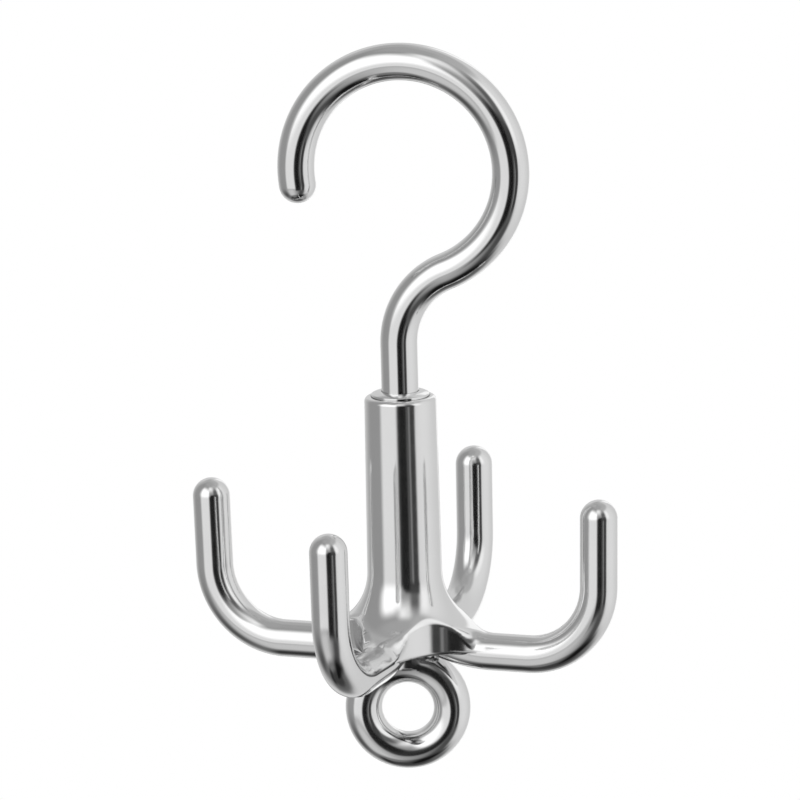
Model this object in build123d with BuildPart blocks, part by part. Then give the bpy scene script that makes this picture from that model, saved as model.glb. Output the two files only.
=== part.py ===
from build123d import *
import math
import os

# Rotating closet hook: a bent bar hook that hangs on a closet rod, and under it a barrel with
# four claws and a ring eye, which turns freely on the end of the bar.
# Millimetres, +Z up. The origin is on the swivel axis, where the rod bears in the hook's bowl.
# The claws point along +X, +Y, -X and -Y.

# Bar and hook
bar_diameter = 8.0
hook_opening = 39.2          # inside of the bowl, for rods of up to 35 mm
hook_offset = 1.87           # centre of the bowl beside the swivel axis
hook_tip_angle = 188.3       # where the bowl's centreline ends, from the back over the top
neck_radius = 17.43          # centreline of the reverse bend
neck_to_barrel = 11.45       # straight bar above the barrel's mouth
hook_turn_angle = 8.15       # the hook's plane against the claws, at rest

# Barrel and hub
barrel_diameter = 15.52
barrel_draft_angle = 0.49
barrel_length = 55.7         # mouth to the claws' centre plane, where the hub ends
mouth_round = 1.05
flare_radius = 13.0          # barrel running out into the claws
web_radius = 14.9            # hollow between two claws, seen from above
web_top_round = 0.7
web_under_round = 1.0

# Claws
claw_count = 4
claw_diameter = 8.1
claw_reach = 44.86           # swivel axis to the middle of a tip
claw_height = 35.05          # claws' centre plane to the top of a tip
claw_bend_radius = 16.27
claw_splay_angle = 1.18      # lean of the upright, outwards
claw_root_radius = 33.0      # long curve in which a claw leaves the hub
claw_root_reach = 20.0       # where that curve ends and the level run starts
claw_shoulder_radius = 6.0   # run-out of the hub's edges into the round claw

# Swivel
tail_diameter = 6.0          # threaded end of the bar
running_clearance = 0.05
press_clearance = 0.02
loose_clearance = 0.2
axial_play = 0.08
bush_wall = 1.0
bush_gap = 5.22              # free bore between the two bushes
bush_flange_thickness = 1.2
collar_diameter = 12.9
collar_thickness = 1.6       # pressed into the mouth
collar_chamfer = 0.12
collar_groove_width = 0.17   # open seam between collar and barrel
collar_groove_depth = 0.5
collar_shoulder = 0.5        # wall that stands above the mouth
collar_crown = 0.6           # dome from the wall up to the stem
collar_edge_round = 0.2
collar_clearance = 0.1       # round the stem
chamber_diameter = 12.5      # room for washers and nut, bored from below
thrust_thickness = 1.0
washer_diameter = 12.0
washer_thickness = 1.6
spring_washer_width = 2.5
spring_washer_thickness = 1.6
spring_washer_gap = 1.1
nut_sides = 6
nut_across_flats = 10.0
nut_height = 5.0
nut_chamfer = 0.6
thread_end = 1.4             # thread that stands past a nut
thread_chamfer = 0.7
chamber_gap = 4.0            # bar's end to the eye's stud

# Ring eye and the plug that carries it
eye_hole_diameter = 11.3
eye_wire_diameter = 7.98
eye_neck_diameter = 8.0
eye_turn_angle = 18.07       # the ring's plane against the claws
eye_nut_height = 3.2
eye_washer_thickness = 1.2
plug_diameter = 13.6
plug_thickness = 5.0
plug_chamfer = 0.4
plug_face_margin = 0.8       # flat machined round the plug
spanner_hole_diameter = 1.6
spanner_hole_depth = 1.8

overrun = 1.0                # extra length of a cut past the face it opens

# Worked out from the sizes above
bar_radius = bar_diameter / 2
claw_radius = claw_diameter / 2
barrel_radius = barrel_diameter / 2
tail_radius = tail_diameter / 2
hook_radius = hook_opening / 2 + bar_radius
bush_bore_radius = bar_radius + running_clearance
bush_radius = bush_bore_radius + bush_wall
barrel_bore_radius = bush_radius + press_clearance
stem_hole_radius = bar_radius + loose_clearance
screw_hole_radius = tail_radius + loose_clearance
thread_hole_radius = tail_radius + press_clearance
collar_radius = collar_diameter / 2
collar_neck_radius = collar_radius - collar_groove_width
collar_bore_radius = bar_radius + collar_clearance
plug_radius = plug_diameter / 2
chamber_radius = chamber_diameter / 2
washer_radius = washer_diameter / 2
eye_wire_radius = eye_wire_diameter / 2
eye_ring_radius = eye_hole_diameter / 2 + eye_wire_radius

claw_angles = [claw * 360 / claw_count for claw in range(claw_count)]

# Heights, from the rod's seat down
hook_z = -math.sqrt((hook_opening / 2) ** 2 - hook_offset**2)
neck_drop = math.sqrt((neck_radius + hook_radius) ** 2 - (neck_radius - hook_offset) ** 2)
neck_z = hook_z - neck_drop
mouth_z = neck_z - neck_to_barrel
claw_z = mouth_z - barrel_length

# Heights inside the barrel, from the hub's underside up
plug_top_z = claw_z + plug_thickness
eye_washer_top_z = plug_top_z + eye_washer_thickness
eye_nut_top_z = eye_washer_top_z + eye_nut_height
stud_end_z = eye_nut_top_z + thread_end
tail_end_z = stud_end_z + chamber_gap
nut_z = tail_end_z + thread_end
nut_top_z = nut_z + nut_height
spring_washer_top_z = nut_top_z + spring_washer_thickness
bar_shoulder_z = spring_washer_top_z + washer_thickness
thrust_z = bar_shoulder_z + axial_play
chamber_top_z = thrust_z + thrust_thickness
collar_z = mouth_z - collar_thickness
mouth_recess_z = collar_z - bush_flange_thickness
bush_length = (collar_z - chamber_top_z - bush_gap) / 2


def upright_plane(turn, height=0):
    """Plane through the swivel axis: its x points outwards at this angle, its y is up."""
    angle = math.radians(turn)
    return Plane(
        origin=(0, 0, height),
        x_dir=(math.cos(angle), math.sin(angle), 0),
        z_dir=(math.sin(angle), -math.cos(angle), 0),
    )


def washer(top_z, thickness, outer_radius, inner_radius):
    """Flat ring under the height given."""
    with BuildPart() as ring:
        with BuildSketch(Plane.XY.offset(top_z)):
            Circle(outer_radius)
            Circle(inner_radius, mode=Mode.SUBTRACT)
        extrude(amount=-thickness)
    return ring.part


def hex_nut(base_z, height):
    """Hexagon nut with its corners chamfered, for the bar's thread and the eye's."""
    corner_radius = nut_across_flats / 2 / math.cos(math.pi / nut_sides)
    with BuildPart() as nut:
        with BuildSketch(Plane.XY.offset(base_z)):
            RegularPolygon(nut_across_flats / 2, nut_sides, major_radius=False)
        extrude(amount=height)
        with BuildSketch(Plane.XZ):
            with BuildLine():
                Polyline(
                    (0, base_z),
                    (corner_radius - nut_chamfer, base_z),
                    (corner_radius, base_z + nut_chamfer / 2),
                    (corner_radius, base_z + height - nut_chamfer / 2),
                    (corner_radius - nut_chamfer, base_z + height),
                    (0, base_z + height),
                    close=True,
                )
            make_face()
        revolve(axis=Axis.Z, mode=Mode.INTERSECT)
        with BuildSketch(Plane.XY.offset(base_z)):
            Circle(thread_hole_radius)
        extrude(amount=height, mode=Mode.SUBTRACT)
    return nut.part


# Bent bar: straight stem, reverse bend, bowl, round tip, and a threaded tail below its shoulder.
# The reverse bend turns clockwise by as much as the bowl starts below its centre's level.
bowl_start = math.degrees(math.atan2(-neck_drop, neck_radius - hook_offset))

with BuildPart() as top_hook:
    with BuildLine(upright_plane(hook_turn_angle)) as bar_line:
        Line((0, bar_shoulder_z), (0, neck_z))
        CenterArc((neck_radius, neck_z), neck_radius, 180, bowl_start)
        CenterArc((hook_offset, hook_z), hook_radius, bowl_start, hook_tip_angle - bowl_start)
    with BuildSketch(Plane.XY.offset(bar_shoulder_z)):
        Circle(bar_radius)
    sweep(path=bar_line.wires()[0])
    with Locations(bar_line.wires()[0] @ 1):
        Sphere(bar_radius)
    with BuildSketch(Plane.XY.offset(tail_end_z)):
        Circle(tail_radius)
    extrude(amount=bar_shoulder_z - tail_end_z)
    chamfer(edges().group_by(Axis.Z)[0], thread_chamfer)

# Room that the hub may fill: its core, and the round run-out of its edges along each claw
core_radius = claw_root_reach - claw_shoulder_radius
shoulder_z = claw_z + claw_radius + claw_shoulder_radius

with BuildPart() as claw_room:
    with BuildSketch(Plane.XY.offset(claw_z)):
        Circle(core_radius)
    extrude(amount=barrel_length)
    for claw_angle in claw_angles:
        claw_plane = upright_plane(claw_angle)
        with BuildSketch(claw_plane):
            with BuildLine():
                Polyline(
                    (claw_root_reach, claw_z + claw_radius),
                    (claw_root_reach, claw_z),
                    (0, claw_z),
                    (0, shoulder_z),
                    (core_radius, shoulder_z),
                )
                CenterArc((claw_root_reach, shoulder_z), claw_shoulder_radius, 180, 90)
            make_face()
        revolve(axis=Axis((0, 0, claw_z), claw_plane.x_dir))

# Casting: barrel and hub turned in one, cut to the cross of the claws seen from above
draft = math.radians(barrel_draft_angle)
flare_end_z = claw_z + claw_radius
flare_centre_z = flare_end_z + flare_radius
flare_start_z = flare_centre_z - flare_radius * math.sin(draft)
flare_start_radius = barrel_radius + (mouth_z - flare_start_z) * math.tan(draft)
hub_radius = flare_start_radius + flare_radius * math.cos(draft)

# Claw's middle line, in its own upright plane: it leans outwards above its bend
splay = math.radians(claw_splay_angle)
root_angle = math.degrees(math.asin((claw_root_reach - chamber_radius) / claw_root_radius))
tip_z = claw_z + claw_height - claw_radius
bend_top_z = claw_z + claw_bend_radius * (1 - math.sin(splay))
bend_top_reach = claw_reach - (tip_z - bend_top_z) * math.tan(splay)
bend_reach = bend_top_reach - claw_bend_radius * math.cos(splay)

with BuildPart() as claw_body:
    with BuildSketch(Plane.XZ):
        with BuildLine():
            Polyline(
                (hub_radius, flare_end_z),
                (hub_radius, claw_z),
                (0, claw_z),
                (0, mouth_z),
                (barrel_radius, mouth_z),
                (flare_start_radius, flare_start_z),
            )
            CenterArc(
                (hub_radius, flare_centre_z), flare_radius, 180 + barrel_draft_angle, 90 - barrel_draft_angle
            )
        make_face()
    revolve(axis=Axis.Z)
    with BuildSketch(Plane.XY.offset(claw_z)):
        for claw_angle in claw_angles[: claw_count // 2]:
            Rectangle(2 * hub_radius, claw_diameter, rotation=claw_angle)
        cross_corners = vertices().sort_by_distance((0, 0))[:claw_count]
        fillet(cross_corners, web_radius)
    extrude(amount=barrel_length, mode=Mode.INTERSECT)
    fillet(edges().filter_by(GeomType.BSPLINE), web_top_round)
    web_feet = edges().group_by(Axis.Z)[0].filter_by(GeomType.CIRCLE).group_by(SortBy.LENGTH)[-1]
    fillet(web_feet, web_under_round)
    fillet(edges().group_by(Axis.Z)[-1], mouth_round)
    add(claw_room.part, mode=Mode.INTERSECT)

    # One claw after another: root curve, level run, bend, upright and round tip
    for claw_angle in claw_angles:
        with BuildLine(upright_plane(claw_angle)) as claw_line:
            CenterArc(
                (claw_root_reach, claw_z + claw_root_radius),
                claw_root_radius,
                270 - root_angle,
                root_angle,
            )
            Line((claw_root_reach, claw_z), (bend_reach, claw_z))
            CenterArc((bend_reach, claw_z + claw_bend_radius), claw_bend_radius, 270, 90 - claw_splay_angle)
            Line((bend_top_reach, bend_top_z), (claw_reach, tip_z))
        claw_path = claw_line.wires()[0]
        with BuildSketch(Plane(origin=claw_path @ 0, z_dir=claw_path % 0)):
            Circle(claw_radius)
        sweep(path=claw_path)
        with Locations(claw_path @ 1):
            Sphere(claw_radius)

    # Bored through from both ends
    with BuildSketch(Plane.XY.offset(chamber_top_z - overrun)):
        Circle(barrel_bore_radius)
    extrude(amount=mouth_z - chamber_top_z + 2 * overrun, mode=Mode.SUBTRACT)
    with BuildSketch(Plane.XY.offset(mouth_recess_z)):
        Circle(collar_radius + press_clearance)
    extrude(amount=mouth_z - mouth_recess_z + overrun, mode=Mode.SUBTRACT)
    with BuildSketch(Plane.XY.offset(chamber_top_z)):
        Circle(chamber_radius)
    extrude(amount=claw_z - chamber_top_z - claw_diameter, mode=Mode.SUBTRACT)
    with BuildSketch(Plane.XY.offset(plug_top_z)):
        Circle(plug_radius + press_clearance)
    extrude(amount=claw_z - plug_top_z - claw_diameter, mode=Mode.SUBTRACT)
    with BuildSketch(Plane.XY.offset(claw_z)):
        Circle(plug_radius + plug_face_margin)
    extrude(amount=-claw_diameter, mode=Mode.SUBTRACT)

# Collar that closes the barrel's mouth: pressed in, with a low domed top round the stem
collar_wall_z = mouth_z + collar_shoulder
collar_top_z = collar_wall_z + collar_crown
dome_reach = collar_neck_radius - collar_bore_radius
dome_radius = (dome_reach**2 + collar_crown**2) / (2 * collar_crown)
dome_angle = math.degrees(math.asin(dome_reach / dome_radius))
with BuildPart() as mouth_collar:
    with BuildSketch(Plane.XZ):
        with BuildLine():
            dome = CenterArc((collar_bore_radius, collar_top_z - dome_radius), dome_radius, 90, -dome_angle)
            Polyline(
                dome @ 1,
                (collar_neck_radius, mouth_z - collar_groove_depth),
                (collar_radius, mouth_z - collar_groove_depth),
                (collar_radius, collar_z),
                (collar_bore_radius, collar_z),
                dome @ 0,
            )
        make_face()
        fillet(vertices().sort_by_distance((collar_neck_radius, collar_wall_z))[0], collar_edge_round)
        chamfer(vertices().sort_by_distance((collar_radius, collar_z))[0], collar_chamfer)
    revolve(axis=Axis.Z)

# Bushes under the collar

with BuildPart() as upper_bush:
    with BuildSketch(Plane.XY.offset(collar_z - bush_length)):
        Circle(bush_radius)
    extrude(amount=bush_length)
    with BuildSketch(Plane.XY.offset(mouth_recess_z)):
        Circle(collar_radius)
    extrude(amount=bush_flange_thickness)
    with BuildSketch(Plane.XY.offset(collar_z - bush_length)):
        Circle(bush_bore_radius)
    extrude(amount=bush_length, mode=Mode.SUBTRACT)

lower_bush = washer(chamber_top_z + bush_length, bush_length, bush_radius, bush_bore_radius)

# What hangs the barrel on the bar's tail
thrust_washer = washer(chamber_top_z, thrust_thickness, washer_radius, stem_hole_radius)
retaining_washer = washer(bar_shoulder_z, washer_thickness, washer_radius, screw_hole_radius)

with BuildPart() as spring_washer:
    with BuildSketch(Plane.XY.offset(nut_top_z)):
        Circle(screw_hole_radius + spring_washer_width)
        Circle(screw_hole_radius, mode=Mode.SUBTRACT)
        with Locations((screw_hole_radius + spring_washer_width / 2, 0)):
            Rectangle(2 * spring_washer_width, spring_washer_gap, mode=Mode.SUBTRACT)
    extrude(amount=spring_washer_thickness)

retaining_nut = hex_nut(nut_z, nut_height)

# Plug screwed into the hub from below, with the ring eye bolted through it
with BuildPart() as base_plug:
    with BuildSketch(Plane.XY.offset(claw_z)):
        Circle(plug_radius)
        Circle(thread_hole_radius, mode=Mode.SUBTRACT)
    extrude(amount=plug_thickness)
    chamfer(edges().group_by(Axis.Z)[-1].sort_by(SortBy.RADIUS)[-1], plug_chamfer)
    spanner_reach = (eye_neck_diameter + plug_diameter) / 4
    with BuildSketch(Plane.XY.offset(claw_z)):
        with PolarLocations(spanner_reach, 2, start_angle=eye_turn_angle + 90):
            Circle(spanner_hole_diameter / 2)
    extrude(amount=spanner_hole_depth, mode=Mode.SUBTRACT)

eye_washer = washer(eye_washer_top_z, eye_washer_thickness, washer_radius, screw_hole_radius)
eye_nut = hex_nut(eye_washer_top_z, eye_nut_height)

eye_z = claw_z - eye_ring_radius - eye_wire_radius

with BuildPart() as ring_eye:
    with BuildSketch(Plane.XY.offset(claw_z)):
        Circle(eye_neck_diameter / 2)
    extrude(amount=-eye_wire_radius)
    with Locations(upright_plane(eye_turn_angle, eye_z)):
        Torus(eye_ring_radius, eye_wire_radius)
    with BuildSketch(Plane.XY.offset(claw_z)):
        Circle(tail_radius)
    extrude(amount=stud_end_z - claw_z)
    chamfer(edges().group_by(Axis.Z)[-1], thread_chamfer)

pieces = {
    "top_hook": top_hook.part,
    "claw_body": claw_body.part,
    "mouth_collar": mouth_collar.part,
    "upper_bush": upper_bush.part,
    "lower_bush": lower_bush,
    "thrust_washer": thrust_washer,
    "retaining_washer": retaining_washer,
    "spring_washer": spring_washer.part,
    "retaining_nut": retaining_nut,
    "base_plug": base_plug.part,
    "eye_washer": eye_washer,
    "eye_nut": eye_nut,
    "ring_eye": ring_eye.part,
}

os.makedirs("parts", exist_ok=True)
for name, piece in pieces.items():
    piece.label = name
    export_step(piece, f"parts/{name}.step")
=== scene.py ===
import math

import bmesh
import bpy
import numpy as np
from mathutils import Matrix, Vector


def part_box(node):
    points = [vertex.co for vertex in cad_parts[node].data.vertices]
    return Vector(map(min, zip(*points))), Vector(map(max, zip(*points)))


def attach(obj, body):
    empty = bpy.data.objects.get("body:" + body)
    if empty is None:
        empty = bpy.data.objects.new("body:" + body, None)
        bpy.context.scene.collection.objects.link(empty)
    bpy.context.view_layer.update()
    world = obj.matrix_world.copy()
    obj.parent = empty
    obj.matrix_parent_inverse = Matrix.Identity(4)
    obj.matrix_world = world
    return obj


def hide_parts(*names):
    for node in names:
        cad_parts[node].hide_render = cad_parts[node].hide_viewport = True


# Rotating closet hook: a bent bar, a claw casting that turns on it, and a ring eye, all chromed.
# Metres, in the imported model's frame: the rod bears at the origin, the swivel axis is Z.
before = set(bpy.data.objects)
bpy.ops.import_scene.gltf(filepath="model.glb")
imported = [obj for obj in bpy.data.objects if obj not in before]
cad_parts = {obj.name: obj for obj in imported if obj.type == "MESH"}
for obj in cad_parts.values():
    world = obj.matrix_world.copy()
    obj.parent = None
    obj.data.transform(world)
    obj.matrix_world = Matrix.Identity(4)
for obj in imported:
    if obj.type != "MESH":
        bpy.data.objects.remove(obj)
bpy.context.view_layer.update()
print("frame loaded:", len(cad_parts), "nodes")

mm = 0.001
zAxis = Vector((0, 0, 1))
sharpAngle = 35                   # degrees; an edge that bends more stays crisp
bushFlange = 1.2 * mm             # of the upper bush, in a recess under the collar

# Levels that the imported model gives
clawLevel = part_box("base_plug")[0].z
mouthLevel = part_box("claw_body")[1].z
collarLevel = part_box("mouth_collar")[0].z
recessLevel = collarLevel - bushFlange
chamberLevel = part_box("thrust_washer")[1].z
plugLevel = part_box("base_plug")[1].z
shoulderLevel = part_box("retaining_washer")[1].z
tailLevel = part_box("top_hook")[0].z
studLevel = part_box("ring_eye")[1].z


def facing(degrees):
    # level direction at this angle round the swivel axis
    turn = math.radians(degrees)
    return Vector((math.cos(turn), math.sin(turn), 0))


def linkPiece(name, mesh):
    mesh.shade_smooth()
    mesh.set_sharp_from_angle(angle=math.radians(sharpAngle))
    piece = bpy.data.objects.new(name, mesh)
    bpy.context.scene.collection.objects.link(piece)
    return piece


def newPiece(name, bm):
    mesh = bpy.data.meshes.new(name)
    bm.normal_update()
    bm.to_mesh(mesh)
    bm.free()
    return linkPiece(name, mesh)


def coordinates(mesh):
    values = np.empty(len(mesh.vertices) * 3, np.float32)
    mesh.vertices.foreach_get("co", values)
    return values.reshape(-1, 3).astype(float)


def raised(level):
    return Matrix.Translation((0, 0, level))


def placedAlong(centre, direction):
    # place at the centre whose Z runs along the direction
    return Matrix.Translation(centre) @ direction.to_track_quat("Z", "Y").to_matrix().to_4x4()


def startLoop(bm, place, radius, sides, filled=False):
    # round loop of edges, in the place's XY plane
    made = bmesh.ops.create_circle(bm, segments=sides, radius=radius, matrix=place, cap_ends=filled)
    return list(dict.fromkeys(edge for vert in made["verts"] for edge in vert.link_edges))


def vertsOf(edges):
    return list(dict.fromkeys(vert for edge in edges for vert in edge.verts))


def extendLoop(bm, edges, move):
    # one more ring: the open loop is extruded and its new copy transformed
    made = bmesh.ops.extrude_edge_only(bm, edges=edges)["geom"]
    verts = [item for item in made if isinstance(item, bmesh.types.BMVert)]
    bmesh.ops.transform(bm, matrix=move, verts=verts)
    return [item for item in made if isinstance(item, bmesh.types.BMEdge)]


def spinLoop(bm, edges, centre, axis, degrees, steps):
    # sweeps the open loop round an axis; gives its last ring
    made = bmesh.ops.spin(
        bm, geom=vertsOf(edges) + edges, cent=centre, axis=axis, angle=math.radians(degrees), steps=steps,
        use_duplicate=False,
    )["geom_last"]
    return [item for item in made if isinstance(item, bmesh.types.BMEdge)]


def closeLoop(bm, edges, pole):
    made = bmesh.ops.extrude_edge_only(bm, edges=edges)["geom"]
    verts = [item for item in made if isinstance(item, bmesh.types.BMVert)]
    bmesh.ops.pointmerge(bm, verts=verts, merge_co=pole)


def roundTip(bm, edges, centre, direction, radius, rings):
    # half ball on the end of a round bar
    local = placedAlong(centre, direction)
    for ring in range(1, rings):
        before, now = (math.pi / 2 * (ring - back) / rings for back in (1, 0))
        shrink = math.cos(now) / math.cos(before)
        rise = radius * (math.sin(now) - math.sin(before))
        step = raised(rise) @ Matrix.Diagonal((shrink, shrink, 1, 1))
        edges = extendLoop(bm, edges, local @ step @ local.inverted())
    closeLoop(bm, edges, centre + radius * direction)


def stepLoop(bm, edges, radius, newRadius, rise):
    # next ring of a turned part round the swivel axis
    ratio = newRadius / radius
    return extendLoop(bm, edges, raised(rise) @ Matrix.Diagonal((ratio, ratio, 1, 1)))


def turnProfile(bm, profile, segments):
    # surface turned round the swivel axis from (radius, level) points; gives its first and last rings
    radius, level = profile[0]
    first = last = startLoop(bm, raised(level), radius, segments)
    for newRadius, newLevel in profile[1:]:
        last = stepLoop(bm, last, radius, newRadius, newLevel - level)
        radius, level = newRadius, newLevel
    return first, last


def profileArc(centre, radius, start, end, steps):
    # points along an arc of a profile, its angles in degrees from straight outwards
    turns = [math.radians(start + (end - start) * step / steps) for step in range(steps + 1)]
    return [(centre[0] + radius * math.cos(turn), centre[1] + radius * math.sin(turn)) for turn in turns]


# Bent bar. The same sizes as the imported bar, whose rings are too coarse for a mirror finish.
hookBar = {
    "barRadius": 4.0 * mm,
    "bowlRadius": 23.6 * mm,      # centreline of the bowl
    "bowlOffset": 1.87 * mm,      # bowl's centre beside the stem
    "rodSeat": 19.6 * mm,         # inside radius of the bowl, which puts the rod's seat at the origin
    "neckRadius": 17.43 * mm,
    "neckBase": 11.45 * mm,       # straight bar above the barrel
    "tipAngle": 188.3,
    "turn": 8.15,
    "tailRadius": 3.0 * mm,
    "tailChamfer": 0.7 * mm,
    "threadPitch": 1.0 * mm,
    "threadDepth": 0.3 * mm,
    "threadRings": 8,             # for each turn of the thread
    "stemRings": 12,
    "sides": 96,
    "arcStep": 1.5,               # degrees between rings in the bends
    "tipRings": 16,
}


def cutThread(bm, low, high, s):
    # helical groove round the bar's tail, run out over its first and last turn
    radius, pitch, depth = s["tailRadius"], s["threadPitch"], s["threadDepth"]
    for vert in bm.verts:
        x, y, z = vert.co
        if low < z < high and abs(math.hypot(x, y) - radius) < depth / 2:
            turns = z / pitch - math.atan2(y, x) / (2 * math.pi)
            groove = abs(2 * (turns % 1) - 1)
            runOut = min(1, (z - low) / pitch, (high - z) / pitch)
            shrink = 1 - depth * groove * runOut / radius
            vert.co = (x * shrink, y * shrink, z)


def makeHook(s):
    bm = bmesh.new()
    outward = facing(s["turn"])
    across = zAxis.cross(outward)
    neckLevel = mouthLevel + s["neckBase"]
    bowlLevel = -math.sqrt(s["rodSeat"] ** 2 - s["bowlOffset"] ** 2)

    # threaded tail, from its chamfer up to the shoulder
    endRadius = s["tailRadius"] - s["tailChamfer"]
    tailEnd = startLoop(bm, raised(tailLevel), endRadius, s["sides"])
    loop = stepLoop(bm, tailEnd, endRadius, s["tailRadius"], s["tailChamfer"])
    threadLow = tailLevel + s["tailChamfer"]
    threadLength = shoulderLevel - threadLow
    threadRings = s["threadRings"] * round(threadLength / s["threadPitch"])
    for _ in range(threadRings):
        loop = extendLoop(bm, loop, raised(threadLength / threadRings))
    cutThread(bm, threadLow, shoulderLevel, s)

    # stem, reverse bend and bowl
    loop = stepLoop(bm, loop, s["tailRadius"], s["barRadius"], 0)
    for _ in range(s["stemRings"]):
        loop = extendLoop(bm, loop, raised((neckLevel - shoulderLevel) / s["stemRings"]))
    bowlStart = math.degrees(math.atan2(neckLevel - bowlLevel, s["neckRadius"] - s["bowlOffset"]))
    neckCentre = s["neckRadius"] * outward + neckLevel * zAxis
    loop = spinLoop(bm, loop, neckCentre, across, -bowlStart, round(-bowlStart / s["arcStep"]))
    bowlCentre = s["bowlOffset"] * outward + bowlLevel * zAxis
    sweep = s["tipAngle"] - bowlStart
    loop = spinLoop(bm, loop, bowlCentre, across, -sweep, round(sweep / s["arcStep"]))
    tip = math.radians(s["tipAngle"])
    tipCentre = bowlCentre + s["bowlRadius"] * (math.cos(tip) * outward + math.sin(tip) * zAxis)
    tipDirection = -math.sin(tip) * outward + math.cos(tip) * zAxis
    roundTip(bm, loop, tipCentre, tipDirection, s["barRadius"], s["tipRings"])
    closeLoop(bm, tailEnd, tailLevel * zAxis)
    bmesh.ops.recalc_face_normals(bm, faces=bm.faces)
    return newPiece("bent_bar", bm)


bentBar = makeHook(hookBar)
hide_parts("top_hook")
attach(bentBar, "hook")
print("bent bar:", len(bentBar.data.polygons), "faces")


# The claw casting and the ring eye are skins: a rough blank is remeshed, then relaxed and moved onto
# the true surface, which is where the piece's distance function is zero
skinMaking = {
    "probe": 0.01 * mm,           # step that measures the surface's slope
    "leastSlope": 0.05,           # squared; keeps a point in a crease from flying off
    "firstRounds": 6,             # of settling on the surface
    "lastRounds": 3,
    "relaxShare": 0.6,            # of the way to the neighbours' middle, each round
    "normalMatch": 0.8,           # cosine; the mesh's own normal stays where the true one is further off
}


def roundMax(a, b, radius):
    # inside both, with the edge between them rounded
    outside = np.hypot(np.maximum(a + radius, 0), np.maximum(b + radius, 0))
    return np.minimum(np.maximum(a, b) + radius, 0) + outside - radius


def roundMin(a, b, fillet):
    # inside either, with the corner between them filled
    near = np.clip(fillet - np.abs(a - b), 0, None)
    return np.minimum(a, b) - near * near / (4 * fillet)


def ease(x, start, end):
    t = np.clip((x - start) / (end - start), 0, 1)
    return t * t * (3 - 2 * t)


def slopes(distance, points):
    step = skinMaking["probe"]
    shifts = step * np.eye(3)
    grads = np.stack([distance(points + shift) - distance(points - shift) for shift in shifts], -1)
    return grads / (2 * step)


def settle(points, distance, rounds):
    # moves points onto the surface
    for _ in range(rounds):
        slope = slopes(distance, points)
        steep = np.maximum((slope * slope).sum(1), skinMaking["leastSlope"])
        points = points - (distance(points) / steep)[:, None] * slope
    return points


def skinOf(blank, voxel, distance, relaxRounds):
    remesh = blank.modifiers.new("skin", "REMESH")
    remesh.mode = "VOXEL"
    remesh.voxel_size = voxel
    graph = bpy.context.evaluated_depsgraph_get()
    mesh = bpy.data.meshes.new_from_object(blank.evaluated_get(graph))
    bpy.data.objects.remove(blank)
    points = settle(coordinates(mesh), distance, skinMaking["firstRounds"])

    # each point goes towards the middle of its neighbours, then back to the surface
    ends = np.empty(len(mesh.edges) * 2, np.int32)
    mesh.edges.foreach_get("vertices", ends)
    a, b = ends.reshape(-1, 2).T
    count = np.bincount(np.concatenate([a, b]), minlength=len(points))[:, None]
    for _ in range(relaxRounds):
        total = np.zeros_like(points)
        for axis in range(3):
            total[:, axis] += np.bincount(a, points[b, axis], len(points))
            total[:, axis] += np.bincount(b, points[a, axis], len(points))
        points = settle(points + skinMaking["relaxShare"] * (total / count - points), distance, 1)
    points = settle(points, distance, skinMaking["lastRounds"])
    mesh.vertices.foreach_set("co", points.astype(np.float32).ravel())
    mesh.update()
    return mesh


def cutOpen(bm, level):
    # opens the mesh along level(point) == 0 and drops the side below it; gives the new rim
    values = {vert: level(vert.co) for vert in bm.verts}
    cuts = [edge for edge in bm.edges if values[edge.verts[0]] * values[edge.verts[1]] < 0]
    rim = []
    for edge in cuts:
        start, end = edge.verts
        share = values[start] / (values[start] - values[end])
        rim.append(bmesh.utils.edge_split(edge, start, share)[1])
    bmesh.ops.connect_verts(bm, verts=rim)
    dropped = [face for face in bm.faces if level(face.calc_center_median()) < 0]
    bmesh.ops.delete(bm, geom=dropped, context="FACES")
    rimSet = set(rim)
    return [edge for edge in bm.edges if edge.is_boundary and set(edge.verts) <= rimSet]


def smoothNormals(piece, distance, isSkin):
    # mirror finish: normals of the true surface on the skin, the mesh's own elsewhere
    mesh = piece.data
    corner = np.empty(len(mesh.loops), np.int32)
    mesh.loops.foreach_get("vertex_index", corner)
    normals = np.empty(len(mesh.loops) * 3, np.float32)
    mesh.corner_normals.foreach_get("vector", normals)
    normals = normals.reshape(-1, 3).astype(float)
    points = coordinates(mesh)
    slope = slopes(distance, points)
    slope /= np.maximum(np.linalg.norm(slope, axis=1, keepdims=True), 1e-9)
    alike = (slope[corner] * normals).sum(1) > skinMaking["normalMatch"]
    chosen = isSkin(points)[corner] & alike
    normals[chosen] = slope[corner][chosen]
    mesh.normals_split_custom_set(normals.tolist())


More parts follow.
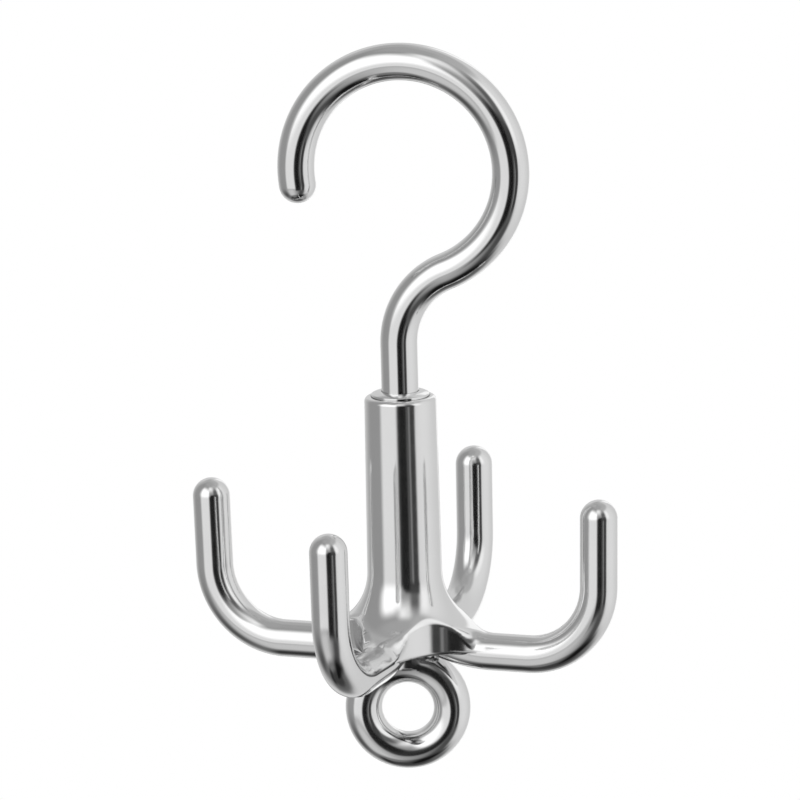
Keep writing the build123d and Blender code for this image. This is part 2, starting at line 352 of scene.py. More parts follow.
# Claw casting: tapered barrel, flared hub and four claws
casting = {
    "clawRadius": 4.05 * mm,
    "clawReach": 44.86 * mm,
    "clawHeight": 35.05 * mm,
    "bendRadius": 16.27 * mm,
    "splay": 1.18,
    "rootRadius": 33.0 * mm,      # a claw's long root curve under the hub
    "rootReach": 20.0 * mm,
    "barrelRadius": 7.76 * mm,
    "draft": 0.49,
    "mouthRound": 1.05 * mm,
    "flareRadius": 13.0 * mm,
    "webRadius": 14.9 * mm,
    "webTopRound": 0.7 * mm,
    "webUnderRound": 1.0 * mm,
    "armStart": 12.5 * mm,        # the hub's flat-sided arms turn round from here
    "armEnd": 17.5 * mm,
    "tubeStart": 17.0 * mm,       # and are the claws alone from the second of these on
    "tubeEnd": 21.5 * mm,
    "topFillet": 0.02 * mm,       # the hub meets the claws' tops in a sharp corner
    "underFillet": 0.8 * mm,      # and their undersides in a fillet, which grows from level to level
    "filletStart": 0.5 * mm,      # above the claws' level
    "filletEnd": -1.0 * mm,
    "facingRadius": 7.6 * mm,     # flat turned round the plug
    "facingEdge": 0.3 * mm,
    "collarFit": 6.47 * mm,
    "bushBore": 5.07 * mm,
    "chamberRadius": 6.25 * mm,
    "plugBore": 6.82 * mm,
    "barrelCut": 19.0 * mm,       # above the claws: turned barrel above, skin below
    "rimRadius": 7.2 * mm,
    "seamSlack": 0.001 * mm,      # the skin's normals reach this far past the cut
    "sliver": 0.002 * mm,         # shorter edges at the seams are dissolved
    "barrelRings": 8,
    "mouthSteps": 16,
    "voxel": 0.345 * mm,
    "relaxRounds": 12,
}

# Rough solids that the casting's skin starts from
castingBlank = {
    "overlap": 2.0 * mm,          # of the hub's core, past the cut in the barrel
    "coreShare": 0.6,             # of the hub's radius
    "coreSides": 64,
    "clawSides": 32,
    "bendSteps": 12,
    "tipRings": 8,
}


def castingSizes(s):
    # sizes worked out from the casting's own, heights from the claws' level
    draft, splay = math.radians(s["draft"]), math.radians(s["splay"])
    s["mouth"] = mouthLevel - clawLevel
    s["flareLevel"] = s["clawRadius"] + s["flareRadius"]
    s["flareStart"] = s["flareLevel"] - s["flareRadius"] * math.sin(draft)
    foot = s["barrelRadius"] + (s["mouth"] - s["flareStart"]) * math.tan(draft)
    s["hubRadius"] = foot + s["flareRadius"] * math.cos(draft)
    s["tipLevel"] = s["clawHeight"] - s["clawRadius"]
    s["bendTop"] = s["bendRadius"] * (1 - math.sin(splay))
    s["bendTopReach"] = s["clawReach"] - (s["tipLevel"] - s["bendTop"]) * math.tan(splay)
    s["bendReach"] = s["bendTopReach"] - s["bendRadius"] * math.cos(splay)
    s["webCentre"] = s["clawRadius"] + s["webRadius"]


castingSizes(casting)


def clawDistance(x, y, z, s):
    # one claw, in its own frame: x outwards, y across, z up from the claws' level
    splay = math.radians(s["splay"])
    root = np.abs(np.hypot(x - s["rootReach"], z - s["rootRadius"]) - s["rootRadius"])
    bend = np.abs(np.hypot(x - s["bendReach"], z - s["bendRadius"]) - s["bendRadius"])
    turned = np.arctan2(x - s["bendReach"], s["bendRadius"] - z)
    inBend = (x > s["bendReach"]) & (turned > 0) & (turned < math.pi / 2 - splay)
    fromX, fromZ = x - s["bendTopReach"], z - s["bendTop"]
    length = math.hypot(s["clawReach"] - s["bendTopReach"], s["tipLevel"] - s["bendTop"])
    along = np.clip(fromX * math.sin(splay) + fromZ * math.cos(splay), 0, length)
    upright = np.hypot(fromX - along * math.sin(splay), fromZ - along * math.cos(splay))
    off = np.where(x < s["rootReach"], root, np.abs(z))
    off = np.where(x > s["bendReach"], np.where(inBend, bend, upright), off)
    return np.hypot(off, y) - s["clawRadius"]


def barrelDistance(rho, z, s):
    draft = math.radians(s["draft"])
    return (rho - s["barrelRadius"] - (s["mouth"] - z) * math.tan(draft)) * math.cos(draft)


def castingDistance(points):
    # the claws are alike, and so are each one's two sides, so every point is folded to the first's left
    s = casting
    sideA, sideB = np.abs(points[:, 0]), np.abs(points[:, 1])
    x, y = np.maximum(sideA, sideB), np.minimum(sideA, sideB)
    z = points[:, 2] - clawLevel
    rho = np.hypot(x, y)
    inwards = np.minimum(rho, s["hubRadius"]) - s["hubRadius"]
    flare = s["flareRadius"] - np.hypot(inwards, z - s["flareLevel"])
    top = np.where(z > s["flareStart"], barrelDistance(rho, z, s), flare)
    web = s["webRadius"] - np.hypot(x - s["webCentre"], y - s["webCentre"])
    side = np.where(x < s["webCentre"], web, y - s["clawRadius"])
    edge = s["webTopRound"] + (s["clawRadius"] - s["webTopRound"]) * ease(x, s["armStart"], s["armEnd"])
    hub = roundMax(roundMax(top, side, edge), -z, s["webUnderRound"])
    claw = clawDistance(x, y, z, s)
    fillet = s["topFillet"] + s["underFillet"] * ease(-z, -s["filletStart"], -s["filletEnd"])
    both = roundMin(hub, claw, fillet)
    alone = ease(x, s["tubeStart"], s["tubeEnd"])
    both = both * (1 - alone) + claw * alone
    below = np.maximum(rho - s["facingRadius"], z)
    both = roundMax(both, -below, s["facingEdge"])
    return np.where((z > s["flareStart"]) & (x > s["tubeStart"]), claw, both)


def addClawBlank(bm, outward, s, blank):
    across = zAxis.cross(outward)
    start = placedAlong(clawLevel * zAxis, outward)
    loop = startLoop(bm, start, s["clawRadius"], blank["clawSides"], filled=True)
    loop = extendLoop(bm, loop, Matrix.Translation(s["bendReach"] * outward))
    centre = s["bendReach"] * outward + (clawLevel + s["bendRadius"]) * zAxis
    loop = spinLoop(bm, loop, centre, across, s["splay"] - 90, blank["bendSteps"])
    lean = math.radians(s["splay"])
    direction = math.sin(lean) * outward + math.cos(lean) * zAxis
    length = math.hypot(s["clawReach"] - s["bendTopReach"], s["tipLevel"] - s["bendTop"])
    loop = extendLoop(bm, loop, Matrix.Translation(length * direction))
    tip = s["clawReach"] * outward + (clawLevel + s["tipLevel"]) * zAxis
    roundTip(bm, loop, tip, direction, s["clawRadius"], blank["tipRings"])


def makeCastingBlank(s, blank):
    # the hub's core with the barrel's stump, and the claws, all overlapping
    bm = bmesh.new()
    height = s["barrelCut"] + blank["overlap"]
    bmesh.ops.create_cone(
        bm, cap_ends=True, segments=blank["coreSides"], radius1=s["hubRadius"] * blank["coreShare"],
        radius2=s["barrelRadius"], depth=height, matrix=raised(clawLevel + height / 2),
    )
    for claw in range(4):
        addClawBlank(bm, facing(90 * claw), s, blank)
    bmesh.ops.recalc_face_normals(bm, faces=bm.faces)
    return newPiece("casting_blank", bm)


def latheCore(bm, s, segments):
    # barrel's upper part, mouth and bores in one turned profile, from outside over the mouth to the foot
    flank = math.tan(math.radians(s["draft"]))
    roundLow = s["mouth"] - s["mouthRound"]
    profile = []
    for ring in range(s["barrelRings"]):
        level = s["barrelCut"] + (roundLow - s["barrelCut"]) * ring / s["barrelRings"]
        profile.append((s["barrelRadius"] + (s["mouth"] - level) * flank, level))
    roundMiddle = s["barrelRadius"] + s["mouthRound"] * (flank - 1)
    profile += profileArc((roundMiddle, roundLow), s["mouthRound"], 0, 90, s["mouthSteps"])
    profile += [
        (s["collarFit"], s["mouth"]),
        (s["collarFit"], recessLevel - clawLevel),
        (s["bushBore"], recessLevel - clawLevel),
        (s["bushBore"], chamberLevel - clawLevel),
        (s["chamberRadius"], chamberLevel - clawLevel),
        (s["chamberRadius"], plugLevel - clawLevel),
        (s["plugBore"], plugLevel - clawLevel),
        (s["plugBore"], 0),
        (s["rimRadius"], 0),
    ]
    return turnProfile(bm, [(radius, clawLevel + level) for radius, level in profile], segments)


def makeCasting(s, blank):
    skin = skinOf(makeCastingBlank(s, blank), s["voxel"], castingDistance, s["relaxRounds"])
    bm = bmesh.new()
    bm.from_mesh(skin)
    bpy.data.meshes.remove(skin)
    kept = s["clawRadius"]        # any level above nought keeps a point

    def underCut(point):
        inBarrel = point.xy.length < s["hubRadius"] / 2
        return s["barrelCut"] - (point.z - clawLevel) if inBarrel else kept

    def outsidePlug(point):
        atFoot = point.z < clawLevel + s["webUnderRound"]
        return point.xy.length - s["rimRadius"] if atFoot else kept

    topRim = cutOpen(bm, underCut)
    footRim = cutOpen(bm, outsidePlug)
    topEdge, footEdge = latheCore(bm, s, len(topRim))
    bmesh.ops.bridge_loops(bm, edges=topRim + topEdge)
    bmesh.ops.bridge_loops(bm, edges=footRim + footEdge)
    bmesh.ops.dissolve_degenerate(bm, dist=s["sliver"], edges=bm.edges)
    bmesh.ops.recalc_face_normals(bm, faces=bm.faces)
    piece = newPiece("claw_casting", bm)

    def onSkin(points):
        belowCut = points[:, 2] < clawLevel + s["barrelCut"] + s["seamSlack"]
        return belowCut | (np.hypot(points[:, 0], points[:, 1]) > s["hubRadius"])

    smoothNormals(piece, castingDistance, onSkin)
    return piece


clawCasting = makeCasting(casting, castingBlank)
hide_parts("claw_body")
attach(clawCasting, "claws")
print("claw casting:", len(clawCasting.data.polygons), "faces")


# Collar in the barrel's mouth, with a low domed top round the stem
collar = {
    "radius": 6.45 * mm,
    "chamfer": 0.12 * mm,
    "groove": 0.17 * mm,          # dark seam between collar and barrel
    "grooveDepth": 0.5 * mm,
    "shoulder": 0.5 * mm,         # wall that stands above the mouth
    "crown": 0.6 * mm,            # dome from there up to the stem
    "edgeRound": 0.2 * mm,
    "boreRadius": 4.1 * mm,
    "edgeSteps": 10,
    "domeSteps": 16,
    "sides": 192,
}


def makeCollar(s):
    neck = s["radius"] - s["groove"]
    top = mouthLevel + s["shoulder"] + s["crown"]
    reach = neck - s["boreRadius"]
    dome = (reach ** 2 + s["crown"] ** 2) / (2 * s["crown"])
    domeCentre = (s["boreRadius"], top - dome)
    inset = neck - s["edgeRound"]
    rise = math.sqrt((dome - s["edgeRound"]) ** 2 - (inset - s["boreRadius"]) ** 2)
    lean = math.degrees(math.atan2(rise, inset - s["boreRadius"]))
    profile = [
        (s["boreRadius"], collarLevel),
        (s["radius"] - s["chamfer"], collarLevel),
        (s["radius"], collarLevel + s["chamfer"]),
        (s["radius"], mouthLevel - s["grooveDepth"]),
        (neck, mouthLevel - s["grooveDepth"]),
    ]
    profile += profileArc((inset, domeCentre[1] + rise), s["edgeRound"], 0, lean, s["edgeSteps"])
    profile += profileArc(domeCentre, dome, lean, 90, s["domeSteps"])[1:]
    bm = bmesh.new()
    first, last = turnProfile(bm, profile, s["sides"])
    bmesh.ops.bridge_loops(bm, edges=first + last)
    bmesh.ops.recalc_face_normals(bm, faces=bm.faces)
    return newPiece("domed_collar", bm)


domedCollar = makeCollar(collar)
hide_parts("mouth_collar")
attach(domedCollar, "claws")
print("domed collar:", len(domedCollar.data.polygons), "faces")


# Ring eye with its neck and threaded stud
ringEye = {
    "ringRadius": 9.64 * mm,
    "wireRadius": 3.99 * mm,
    "neckRadius": 4.0 * mm,
    "neckFillet": 1.0 * mm,
    "studRadius": 3.0 * mm,
    "studChamfer": 0.7 * mm,
    "turn": 18.07,
    "trueBelow": 0.2 * mm,        # under the plug, from where the normals are the true surface's
    "voxel": 0.3 * mm,
    "relaxRounds": 8,
    "blankSides": 32,
    "blankSteps": 64,
    "weld": 0.01 * mm,
}


def ringDistance(points):
    s = ringEye
    turn = math.radians(s["turn"])
    x = points[:, 0] * math.cos(turn) + points[:, 1] * math.sin(turn)
    y = points[:, 1] * math.cos(turn) - points[:, 0] * math.sin(turn)
    z = points[:, 2] - clawLevel
    drop = s["ringRadius"] + s["wireRadius"]
    ring = np.hypot(np.hypot(x, z + drop) - s["ringRadius"], y) - s["wireRadius"]
    rho = np.hypot(x, y)
    neck = np.maximum(rho - s["neckRadius"], -z - s["wireRadius"])
    eye = np.maximum(roundMin(ring, neck, s["neckFillet"]), z)
    end = studLevel - clawLevel
    chamfer = (rho - s["studRadius"] + z - end + s["studChamfer"]) / math.sqrt(2)
    stud = np.maximum(np.maximum(rho - s["studRadius"], z - end), np.maximum(chamfer, -z - mm))
    return np.minimum(eye, stud)


def makeRing(s):
    bm = bmesh.new()
    outward = facing(s["turn"])
    across = zAxis.cross(outward)
    centre = (clawLevel - s["ringRadius"] - s["wireRadius"]) * zAxis
    section = Matrix.Translation(centre + s["ringRadius"] * outward)
    section = section @ Matrix.Rotation(math.radians(s["turn"]), 4, "Z")
    loop = startLoop(bm, section, s["wireRadius"], s["blankSides"])
    bmesh.ops.spin(
        bm, geom=vertsOf(loop) + loop, cent=centre, axis=across, angle=2 * math.pi, steps=s["blankSteps"],
        use_merge=True, use_duplicate=False,
    )
    bmesh.ops.remove_doubles(bm, verts=bm.verts, dist=s["weld"])
    low = clawLevel - s["wireRadius"]
    for radius, top in ((s["neckRadius"], clawLevel), (s["studRadius"], studLevel)):
        bmesh.ops.create_cone(
            bm, cap_ends=True, segments=s["blankSides"], radius1=radius, radius2=radius, depth=top - low,
            matrix=raised((low + top) / 2),
        )
    bmesh.ops.recalc_face_normals(bm, faces=bm.faces)
    skin = skinOf(newPiece("ring_blank", bm), s["voxel"], ringDistance, s["relaxRounds"])
    piece = linkPiece("ring_eye_chromed", skin)

    def belowPlug(points):
        return points[:, 2] < clawLevel - s["trueBelow"]

    smoothNormals(piece, ringDistance, belowPlug)
    return piece


eyePiece = makeRing(ringEye)
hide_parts("ring_eye")
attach(eyePiece, "claws")
print("ring eye:", len(eyePiece.data.polygons), "faces")


# Finishes. Patterns are in metres on Object coordinates, so they keep their size on every piece.
noiseMiddle = (0.3, 0.7)          # most of a noise pattern lies between these


def newFinish(name):
    finish = bpy.data.materials.new(name)
    finish.use_nodes = True
    tree = finish.node_tree
    return finish, tree, tree.nodes["Principled BSDF"]


def pattern(tree, size, detail=2.0, stretch=(1, 1, 1)):
    # fractal noise whose features are about this long
    coordinate = tree.nodes.new("ShaderNodeTexCoord")
    mapping = tree.nodes.new("ShaderNodeMapping")
    mapping.inputs["Scale"].default_value = [1 / (size * longer) for longer in stretch]
    noise = tree.nodes.new("ShaderNodeTexNoise")
    noise.inputs["Scale"].default_value = 1
    noise.inputs["Detail"].default_value = detail
    tree.links.new(coordinate.outputs["Object"], mapping.inputs["Vector"])
    tree.links.new(mapping.outputs["Vector"], noise.inputs["Vector"])
    return noise.outputs["Fac"]


def turningMarks(tree, spacing):
    # rings left by the lathe, round the swivel axis; a wave of scale 1 has 0.1 pi between its rings
    coordinate = tree.nodes.new("ShaderNodeTexCoord")
    wave = tree.nodes.new("ShaderNodeTexWave")
    wave.wave_type = "RINGS"
    wave.rings_direction = "Z"
    wave.inputs["Scale"].default_value = 0.1 * math.pi / spacing
    wave.inputs["Distortion"].default_value = 1.5
    wave.inputs["Detail"].default_value = 3
    tree.links.new(coordinate.outputs["Object"], wave.inputs["Vector"])
    return wave.outputs["Fac"]


def spread(tree, value, low, high):
    # lays a pattern's middle over a range of its own
    node = tree.nodes.new("ShaderNodeMapRange")
    node.inputs["From Min"].default_value = noiseMiddle[0]
    node.inputs["From Max"].default_value = noiseMiddle[1]
    node.inputs["To Min"].default_value = low
    node.inputs["To Max"].default_value = high
    tree.links.new(value, node.inputs["Value"])
    return node.outputs["Result"]


def shades(tree, value, dark, light):
    # colours from dark to light over a pattern's middle
    ramp = tree.nodes.new("ShaderNodeValToRGB")
    for element, position, colour in zip(ramp.color_ramp.elements, noiseMiddle, (dark, light)):
        element.position = position
        element.color = (*colour, 1)
    tree.links.new(value, ramp.inputs["Fac"])
    return ramp.outputs["Color"]


def greys(tone, depth):
    return (tone - depth,) * 3, (tone + depth,) * 3


def relief(tree, shader, heights):
    # stacks bumps, each given as a pattern and its height
    normal = None
    for value, height in heights:
        bump = tree.nodes.new("ShaderNodeBump")
        bump.inputs["Strength"].default_value = 1
        bump.inputs["Distance"].default_value = height
        tree.links.new(value, bump.inputs["Height"])
        if normal:
            tree.links.new(normal, bump.inputs["Normal"])
        normal = bump.outputs["Normal"]
    tree.links.new(normal, shader.inputs["Normal"])


# Bright plate: its polish differs with what lies under it. Tone is the metal's grey, sheen its least
# and greatest roughness, wave a gentle unevenness of the ground, lathe the height of turning marks.
plateFinishes = {
    "bar_plate": {
        "tone": 0.87, "sheen": (0.06, 0.09), "waveSize": 14 * mm, "wave": 0.012 * mm, "lathe": 0,
    },
    "casting_plate": {
        "tone": 0.87, "sheen": (0.09, 0.125), "waveSize": 7 * mm, "wave": 0.018 * mm, "lathe": 0,
    },
    "eye_plate": {
        "tone": 0.87, "sheen": (0.08, 0.11), "waveSize": 8 * mm, "wave": 0.012 * mm, "lathe": 0,
    },
    "trim_plate": {
        "tone": 0.87, "sheen": (0.05, 0.08), "waveSize": 9 * mm, "wave": 0.004 * mm, "lathe": 0.0003 * mm,
    },
    "plug_plate": {
        "tone": 0.80, "sheen": (0.10, 0.18), "waveSize": 6 * mm, "wave": 0.006 * mm, "lathe": 0.0015 * mm,
    },
}
plateGrain = {
    "haze": 2.5 * mm,             # patches of duller polish
    "cloud": 11 * mm,             # patches of darker and lighter metal
    "cloudDepth": 0.012,
    "grit": 0.25 * mm,            # marks of the polishing mop
    "gritHeight": 0.0001 * mm,
    "lathe": 1.57 * mm,
}


def plateFinish(name, s, grain):
    finish, tree, shader = newFinish(name)
    cloud = shades(tree, pattern(tree, grain["cloud"], 3), *greys(s["tone"], grain["cloudDepth"]))
    haze = spread(tree, pattern(tree, grain["haze"], 5), *s["sheen"])
    tree.links.new(cloud, shader.inputs["Base Color"])
    tree.links.new(haze, shader.inputs["Roughness"])
    shader.inputs["Metallic"].default_value = 1
    bumps = [
        (pattern(tree, s["waveSize"], 1), s["wave"]),
        (pattern(tree, grain["grit"], 2), grain["gritHeight"]),
    ]
    if s["lathe"]:
        bumps.append((turningMarks(tree, grain["lathe"]), s["lathe"]))
    relief(tree, shader, bumps)
    return finish


# Natural acetal, as moulded: waxy, faintly cloudy
acetalSizes = {
    "dark": (0.84, 0.83, 0.78),
    "light": (0.91, 0.90, 0.86),
    "cloud": 3 * mm,
    "rough": (0.38, 0.52),
    "roughSize": 0.6 * mm,
    "glow": 0.2,
    "glowDepth": (1.2 * mm, 1.1 * mm, 0.9 * mm),
    "grain": 0.3 * mm,
    "grainHeight": 0.002 * mm,
}


def acetalFinish(s):
    finish, tree, shader = newFinish("natural_acetal")
    cloud = shades(tree, pattern(tree, s["cloud"], 4), s["dark"], s["light"])
    rough = spread(tree, pattern(tree, s["roughSize"], 3), *s["rough"])
    tree.links.new(cloud, shader.inputs["Base Color"])
    tree.links.new(rough, shader.inputs["Roughness"])
    shader.inputs["Subsurface Weight"].default_value = s["glow"]
    shader.inputs["Subsurface Radius"].default_value = s["glowDepth"]
    shader.inputs["Subsurface Scale"].default_value = 1
    relief(tree, shader, [(pattern(tree, s["grain"], 2), s["grainHeight"])])
    return finish


# Steel of the hidden washers and nuts, with the marks of its making
steelFinishes = {
    "zinc_plated_steel": {
        "dark": (0.52, 0.53, 0.55), "light": (0.68, 0.69, 0.71), "rough": (0.22, 0.36), "grain": 0.001 * mm,
    },
    "phosphated_spring": {
        "dark": (0.30, 0.31, 0.33), "light": (0.46, 0.47, 0.49), "rough": (0.40, 0.56), "grain": 0.003 * mm,
    },
}
steelGrain = {
    "cloud": 1.5 * mm,
    "roughSize": 0.5 * mm,
    "grain": 0.2 * mm,
    "lathe": 1.26 * mm,
    "latheHeight": 0.002 * mm,
}


def steelFinish(name, s, grain):
    finish, tree, shader = newFinish(name)
    cloud = shades(tree, pattern(tree, grain["cloud"], 5), s["dark"], s["light"])
    rough = spread(tree, pattern(tree, grain["roughSize"], 4), *s["rough"])
    tree.links.new(cloud, shader.inputs["Base Color"])
    tree.links.new(rough, shader.inputs["Roughness"])
    shader.inputs["Metallic"].default_value = 1
    relief(tree, shader, [
        (pattern(tree, grain["grain"], 3), s["grain"]),
        (turningMarks(tree, grain["lathe"]), grain["latheHeight"]),
    ])
    return finish


plates = {slot: plateFinish("bright_" + slot, sizes, plateGrain) for slot, sizes in plateFinishes.items()}
steels = {name: steelFinish(name, sizes, steelGrain) for name, sizes in steelFinishes.items()}
acetal = acetalFinish(acetalSizes)

bentBar.data.materials.append(plates["bar_plate"])
clawCasting.data.materials.append(plates["casting_plate"])
domedCollar.data.materials.append(plates["trim_plate"])
eyePiece.data.materials.append(plates["eye_plate"])
nodeFinishes = {
    "base_plug": plates["plug_plate"],
    "upper_bush": acetal,
    "lower_bush": acetal,
    "thrust_washer": acetal,
    "retaining_washer": steels["zinc_plated_steel"],
    "retaining_nut": steels["zinc_plated_steel"],
    "eye_washer": steels["zinc_plated_steel"],
    "eye_nut": steels["zinc_plated_steel"],
    "spring_washer": steels["phosphated_spring"],
}
for node, finish in nodeFinishes.items():
    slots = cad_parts[node].data.materials
    if slots:
        slots[0] = finish
    else:
        slots.append(finish)
print("finishes:", len(plates), "plates,", len(steels), "steels and acetal")


# Camera at the photograph's place: a long lens, a little above the claws
photoView = {
    "pixelSize": 0.2162 * mm,     # of the photograph, at the swivel axis
    "distance": 6906,             # in those pixels
    "imageWidth": 800,
    "turn": 0.3652,               # round the swivel axis, radians
    "tilt": 0.2070,
    "roll": -0.0256,
    "aimRight": 1.0809,           # swivel point beside the view's middle, in pixels
    "aimUp": -27.7676,
    "swivelPoint": -76.07 * mm,
    "filmWidth": 36,
    "farEnd": 50,                 # metres; nothing past it shows
}


def placeCamera(s):
    turn = Matrix.Rotation(s["turn"], 3, "Z")
    right = turn @ Vector((1, 0, 0))
    upward = turn @ Vector((0, math.sin(s["tilt"]), math.cos(s["tilt"])))
    forward = turn @ Vector((0, math.cos(s["tilt"]), -math.sin(s["tilt"])))
    viewRight = math.cos(s["roll"]) * right + math.sin(s["roll"]) * upward
    viewUp = math.cos(s["roll"]) * upward - math.sin(s["roll"]) * right
    place = -s["aimRight"] * viewRight - s["aimUp"] * viewUp - s["distance"] * forward
    place = place * s["pixelSize"] + s["swivelPoint"] * zAxis
    camera = bpy.data.objects.new("camera", bpy.data.cameras.new("camera"))
    bpy.context.scene.collection.objects.link(camera)
    camera.data.sensor_width = s["filmWidth"]
    camera.data.lens = s["filmWidth"] * s["distance"] / s["imageWidth"]
    camera.data.clip_end = s["farEnd"]
    axes = Matrix((viewRight, viewUp, -forward)).transposed()
    camera.matrix_world = Matrix.Translation(place) @ axes.to_4x4()
    bpy.context.scene.camera = camera


placeCamera(photoView)


# Studio: a white room to the camera. Plated metal shows the panels, flags and walls that stand round it.
# Each row: middle and half width round the swivel axis, foot and head above the level, soft edge across
# and upwards, all in degrees, then its brightness as a grey: 255 is white, and a lamp's face is more.
# Nought is towards the camera, and more is to its right. Later rows lie over earlier ones.
studioPanels = {
    "backWall": (180, 43, -50, 60, 28, 14, 189),
    "rightWall": (125, 80, -54, 58, 6, 12, 198),
    "rightWash": (75, 32, -36, 54, 30, 16, 213),
    "rightGlow": (57, 11, 5, 46, 10, 12, 237),
    "backHead": (-165, 22, 40, 62, 14, 8, 162),
    "backFoot": (180, 26, -70, -52, 14, 8, 128),
    "backBox": (163, 8, -36, 34, 3, 8, 243),
    "backFlag": (181, 8, -27, -8, 3, 4, 42),
    "lowLight": (-44, 25, -62, -21, 19, 10, 190),
    "lowShade": (-102, 24, -62, -27, 18, 18, 80),
    "frontWash": (-3, 22, 34, 90, 14, 16, 216),
    "boxFoot": (-41, 27, -19.5, 40, 7, 4, 215),
    "boxGlow": (-51, 21, 5, 52, 14, 12, 250),
    "softbox": (-39.5, 24.5, 3, 43, 4.5, 11, 262),
    "frontGlow": (-8, 8, 46, 62, 8, 8, 234),
    "ceiling": (0, 180, 65, 90, 1, 8, 154),
    "ceilingRight": (105, 78, 56, 78, 20, 8, 166),
    "lowFront": (27, 21, -70, -28, 15, 8, 74),
    "shadeColumn": (28, 13, 0, 46, 8, 14, 90),
    "flagTop": (21.5, 22, -6, 16, 6, 5, 64),
    "flag": (16, 28.5, -31, 4, 4.5, 7, 57),
    "flagCore": (4.5, 11, -26, 11, 5.5, 5.5, 27),
    "wideStreak": (25.5, 2.6, -26, -4, 2.5, 6, 120),
    "thinStreak": (18.5, 2, -26, -4, 2, 6, 78),
    "rightFoot": (57, 12, -70, -52, 14, 9, 86),
    "floor": (0, 180, -90, -60, 1, 8, 94),
    "floorLight": (-46, 24, -78, -64, 20, 6, 116),
    "floorMiddle": (0, 180, -90, -74, 1, 6, 60),
    "floorEdge": (-110, 36, -76, -65, 12, 4, 50),
    "floorDark": (30, 33, -90, -55.5, 20, 8.5, 26),
}
wallGrey = 141
screenGamma = 2.2


def brightness(grey):
    # world level that bright plate shows as this grey
    return (grey / 255) ** screenGamma / plateFinishes["bar_plate"]["tone"]


def mathNode(tree, operation, *values):
    node = tree.nodes.new("ShaderNodeMath")
    node.operation = operation
    for socket, value in zip(node.inputs, values):
        if isinstance(value, (int, float)):
            socket.default_value = value
        else:
            tree.links.new(value, socket)
    return node.outputs["Value"]


def softStep(tree, value, edge, soft, low, high):
    # goes from low to high as the value passes the edge
    node = tree.nodes.new("ShaderNodeMapRange")
    node.interpolation_type = "SMOOTHSTEP"
    node.inputs["From Min"].default_value = math.radians(edge - soft)
    node.inputs["From Max"].default_value = math.radians(edge + soft)
    node.inputs["To Min"].default_value = low
    node.inputs["To Max"].default_value = high
    tree.links.new(value, node.inputs["Value"])
    return node.outputs["Result"]


def panelMask(tree, around, above, middle, halfWidth, foot, head, softAcross, softUp):
    # 1 on the panel and 0 beside it; a foot or head at a pole and a full circle have no edge
    mask = softStep(tree, above, foot, softUp, 0, 1) if foot > -90 else 1.0
    if head < 90:
        mask = mathNode(tree, "MULTIPLY", mask, softStep(tree, above, head, softUp, 1, 0))
    if halfWidth < 180:
        towardsCamera = photoView["turn"] - math.pi / 2
        beside = mathNode(tree, "SUBTRACT", around, towardsCamera + math.radians(middle))
        beside = mathNode(tree, "ABSOLUTE", mathNode(tree, "WRAP", beside, math.pi, -math.pi))
        mask = mathNode(tree, "MULTIPLY", mask, softStep(tree, beside, halfWidth, softAcross, 1, 0))
    return mask


def roomLevel(tree):
    # the room's brightness in each direction, panel over panel
    coordinate = tree.nodes.new("ShaderNodeTexCoord")
    axes = tree.nodes.new("ShaderNodeSeparateXYZ")
    tree.links.new(coordinate.outputs["Generated"], axes.inputs["Vector"])
    around = mathNode(tree, "ARCTAN2", axes.outputs["Y"], axes.outputs["X"])
    above = mathNode(tree, "ARCSINE", axes.outputs["Z"])
    level = brightness(wallGrey)
    for *place, grey in studioPanels.values():
        mix = tree.nodes.new("ShaderNodeMix")
        tree.links.new(panelMask(tree, around, above, *place), mix.inputs["Factor"])
        if isinstance(level, float):
            mix.inputs["A"].default_value = level
        else:
            tree.links.new(level, mix.inputs["A"])
        mix.inputs["B"].default_value = brightness(grey)
        level = mix.outputs["Result"]
    return level


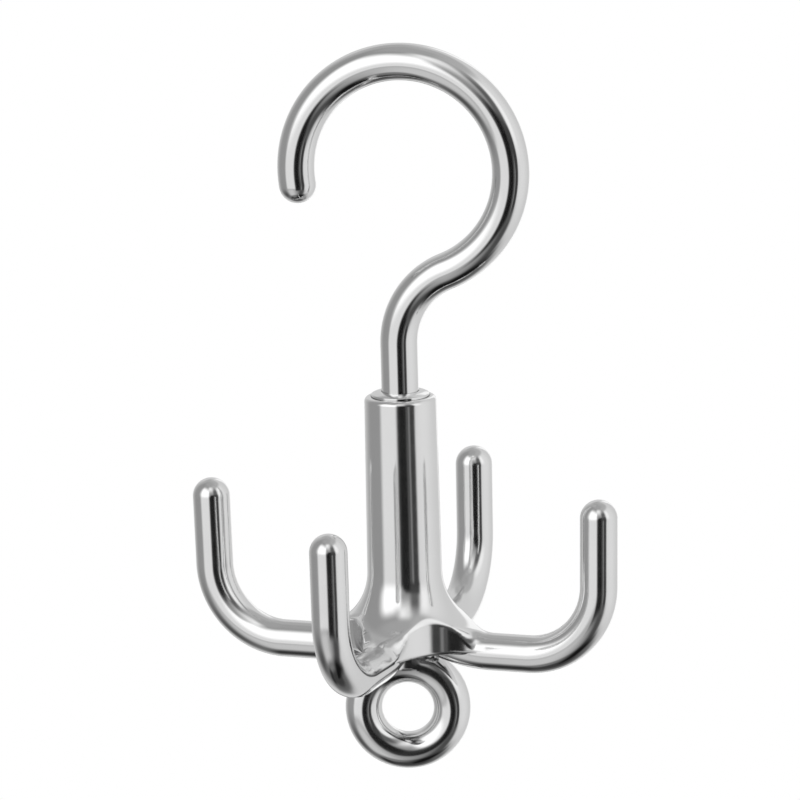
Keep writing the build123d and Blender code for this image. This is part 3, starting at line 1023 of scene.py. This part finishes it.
def makeStudio():
    world = bpy.data.worlds.new("studio")
    bpy.context.scene.world = world
    world.use_nodes = True
    tree = world.node_tree
    background = tree.nodes["Background"]
    background.inputs["Color"].default_value = (1, 1, 1, 1)
    rays = tree.nodes.new("ShaderNodeLightPath")
    metalSees = mathNode(tree, "SUBTRACT", roomLevel(tree), 1)
    metalSees = mathNode(tree, "MULTIPLY", rays.outputs["Is Glossy Ray"], metalSees)
    tree.links.new(mathNode(tree, "ADD", 1, metalSees), background.inputs["Strength"])


# Floor under the rod, in metres
floorStage = {
    "drop": 2.5,                  # below the rod
    "radius": 6.0,
    "fadeStart": 2.0,             # from the middle; it is gone at its edge
    "sides": 96,
    "tone": 0.93,
    "toneDepth": 0.005,
    "cloud": 0.3,
    "rough": 0.9,
}


def fadeOut(tree, shader, start, end):
    # turns clear with the distance from the origin, so that no horizon shows
    clear = tree.nodes.new("ShaderNodeBsdfTransparent")
    mix = tree.nodes.new("ShaderNodeMixShader")
    coordinate = tree.nodes.new("ShaderNodeTexCoord")
    away = tree.nodes.new("ShaderNodeVectorMath")
    away.operation = "LENGTH"
    fade = tree.nodes.new("ShaderNodeMapRange")
    fade.interpolation_type = "SMOOTHSTEP"
    fade.inputs["From Min"].default_value = start
    fade.inputs["From Max"].default_value = end
    tree.links.new(coordinate.outputs["Object"], away.inputs[0])
    tree.links.new(away.outputs["Value"], fade.inputs["Value"])
    tree.links.new(fade.outputs["Result"], mix.inputs["Fac"])
    tree.links.new(shader.outputs["BSDF"], mix.inputs[1])
    tree.links.new(clear.outputs["BSDF"], mix.inputs[2])
    tree.links.new(mix.outputs["Shader"], tree.nodes["Material Output"].inputs["Surface"])


def makeFloor(s):
    bm = bmesh.new()
    startLoop(bm, raised(-s["drop"]), s["radius"], s["sides"], filled=True)
    floor = newPiece("studio_floor", bm)
    finish, tree, shader = newFinish("floor_paper")
    cloud = shades(tree, pattern(tree, s["cloud"], 2), *greys(s["tone"], s["toneDepth"]))
    tree.links.new(cloud, shader.inputs["Base Color"])
    shader.inputs["Roughness"].default_value = s["rough"]
    shader.inputs["Specular IOR Level"].default_value = 0
    fadeOut(tree, shader, math.hypot(s["fadeStart"], s["drop"]), math.hypot(s["radius"], s["drop"]))
    floor.data.materials.append(finish)
    floor.visible_glossy = False      # the room's lower part stands for it there


makeStudio()
makeFloor(floorStage)
bpy.context.scene.view_settings.view_transform = "Standard"
print("studio:", len(studioPanels), "panels and walls")
